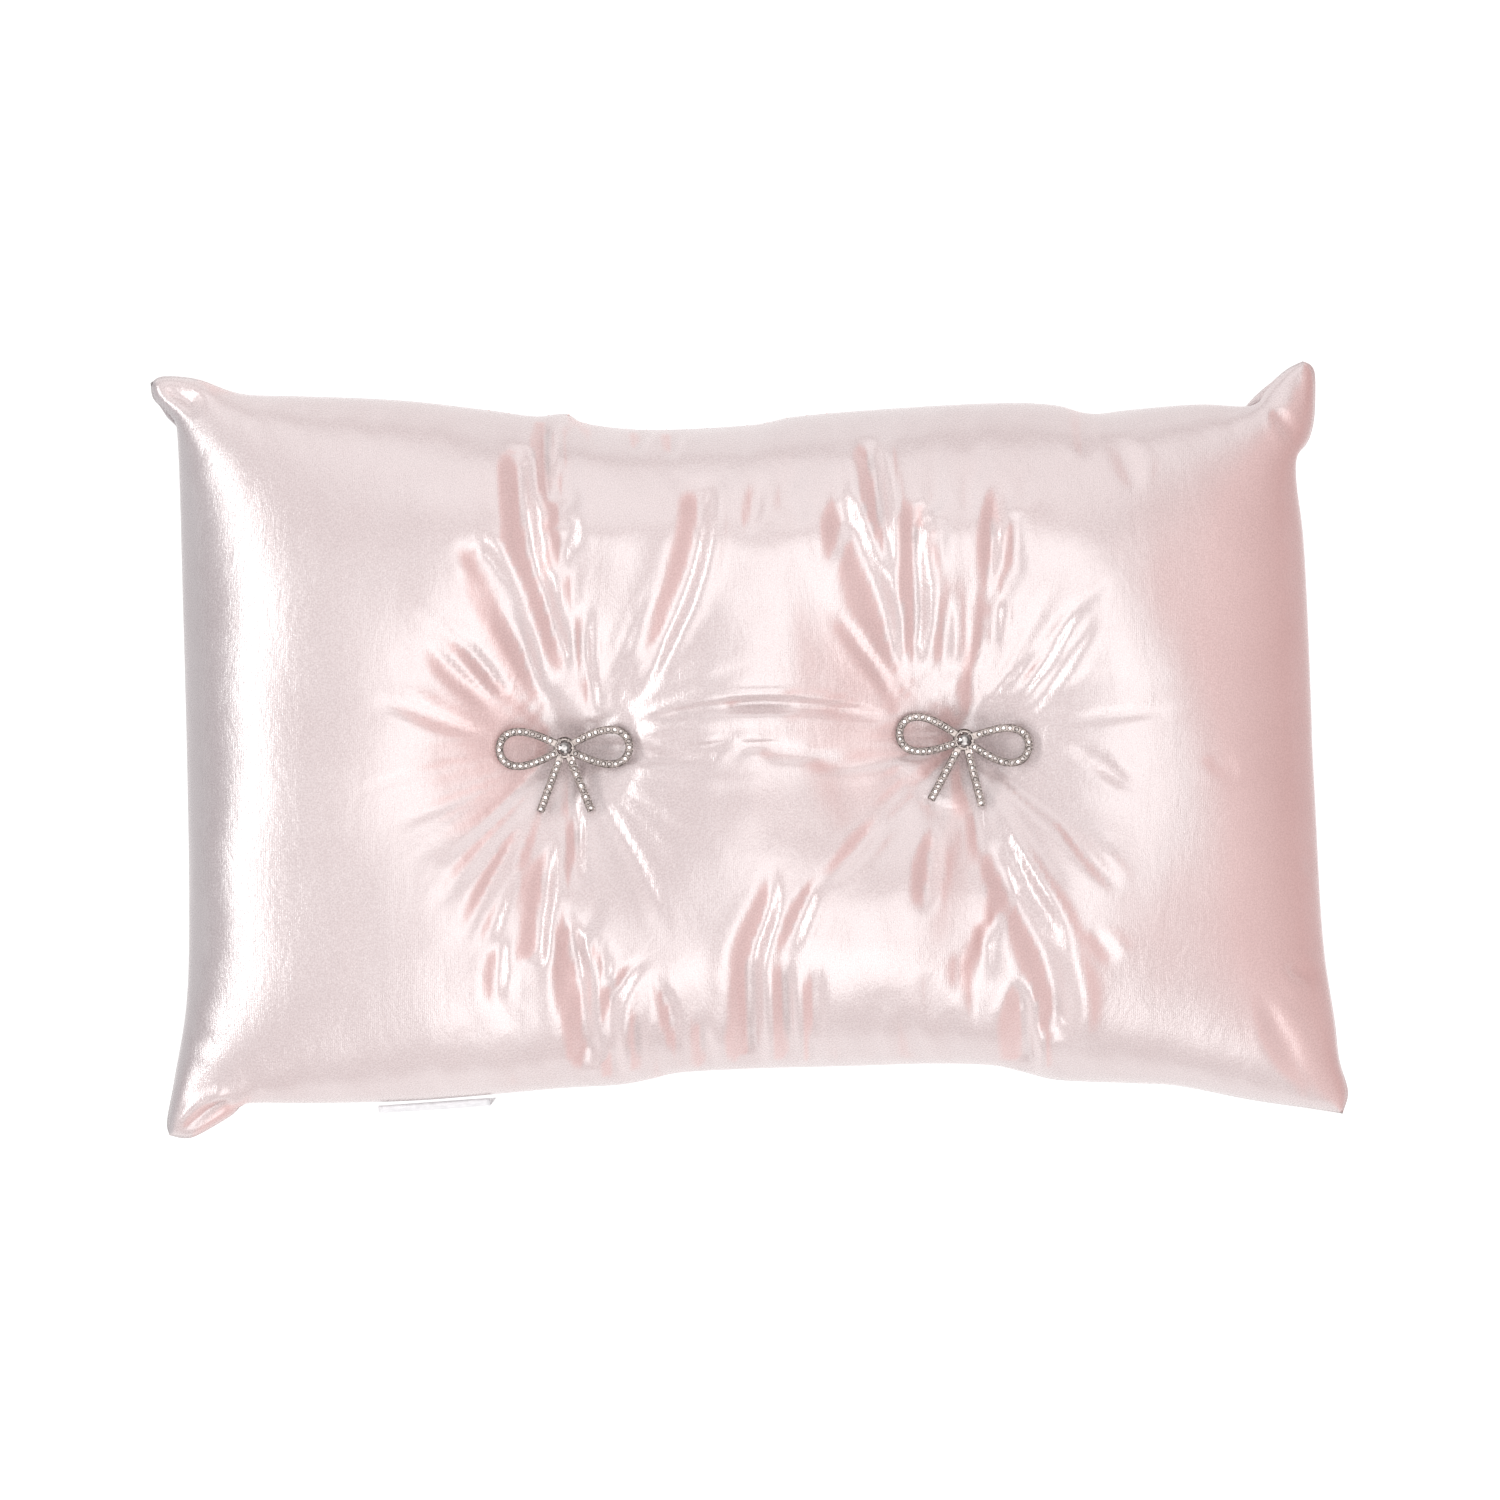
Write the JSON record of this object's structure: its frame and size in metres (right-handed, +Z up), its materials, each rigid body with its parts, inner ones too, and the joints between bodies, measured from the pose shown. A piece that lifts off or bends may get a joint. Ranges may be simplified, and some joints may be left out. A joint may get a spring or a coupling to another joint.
{
  "type": "ring bearer pillow",
  "caption": "Stuffed rectangular velvet pillow tufted in the middle of its length, with a stone-set metal bow sewn into each tuft, corner ears and a care label in one seam.",
  "frame": {"origin": "on the table under the middle of the pillow's bounding box", "axes": "+X along the pillow's length, +Y across it towards the edge away from the bows' tails, +Z up out of its face"},
  "size_m": [0.298, 0.1939, 0.0651],
  "materials": {
    "velvet": "satin",
    "fibre_filling": "matte",
    "sewing_thread": "satin",
    "label_tape": "satin",
    "silver_plate": "polished",
    "crystal": "polished",
    "button_plastic": "gloss"
  },
  "bodies": {
    "cushion": {"top_panel": "velvet", "bottom_panel": "velvet", "filling": "fibre_filling", "seam_thread": "sewing_thread", "closing_stitches": "sewing_thread", "tuft_thread_left": "sewing_thread", "tuft_thread_right": "sewing_thread", "back_button_left": "button_plastic", "back_button_right": "button_plastic"},
    "bow_left": {"bow_frame_left": "silver_plate", "bow_stones_left": "crystal", "bow_setting_left": "silver_plate", "bow_centre_stone_left": "crystal", "bow_shank_left": "silver_plate"},
    "bow_right": {"bow_frame_right": "silver_plate", "bow_stones_right": "crystal", "bow_setting_right": "silver_plate", "bow_centre_stone_right": "crystal", "bow_shank_right": "silver_plate"},
    "label": {"care_label": "label_tape"}
  },
  "joints": [
    {"name": "left_bow_swivel", "type": "hinge", "parent": "cushion", "child": "bow_left", "pos_m": [-0.0455, 0.0005, 0.0532], "axis": [0, 0, 1], "range_deg": [-20, 20]},
    {"name": "right_bow_swivel", "type": "hinge", "parent": "cushion", "child": "bow_right", "pos_m": [0.0525, 0.0025, 0.0532], "axis": [0, 0, 1], "range_deg": [-20, 20]},
    {"name": "label_flap", "type": "hinge", "parent": "cushion", "child": "label", "pos_m": [-0.079, -0.08801, 0.03], "axis": [-0.9975, -0.0702, 0], "range_deg": [0, 100]}
  ]
}
